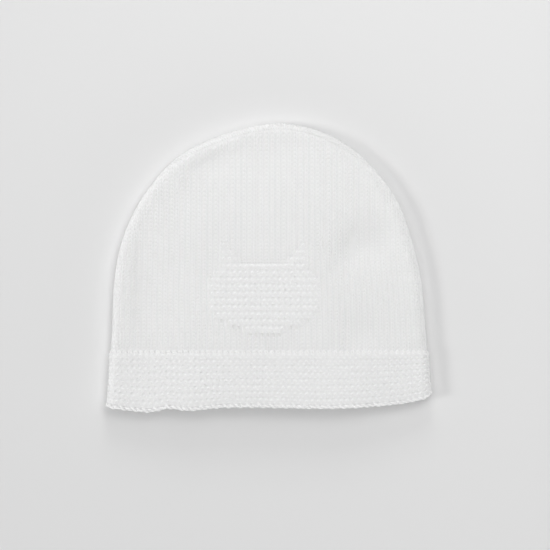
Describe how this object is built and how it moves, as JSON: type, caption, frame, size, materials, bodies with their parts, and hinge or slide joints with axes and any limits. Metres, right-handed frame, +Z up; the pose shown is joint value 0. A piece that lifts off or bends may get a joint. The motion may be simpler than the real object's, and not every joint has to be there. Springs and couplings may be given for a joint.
{
  "type": "knit baby cap",
  "caption": "Pull-on baby cap knitted in plain stitch with a garter-stitch band and a plain raised animal-head figure on the front, lying flat with its opening free.",
  "frame": {"origin": "on the surface that the cap lies on, under the middle of its box; the cap lies flat on its back panel", "axes": "+Z up out of the front panel, +Y towards the crown, -Y out of the opening, +X to the right as the front is seen"},
  "size_m": [0.1644, 0.1455, 0.0151],
  "materials": {
    "plain_knit": "matt white cotton, plain stitch",
    "garter_knit": "matt white cotton, garter stitch",
    "linking_yarn": "matt white cotton, linked chain"
  },
  "bodies": {
    "root": {"front_panel": "plain_knit", "back_panel": "plain_knit", "crown_seam": "linking_yarn", "brim_band": "garter_knit", "cast_on_edge": "garter_knit"}
  },
  "joints": []
}
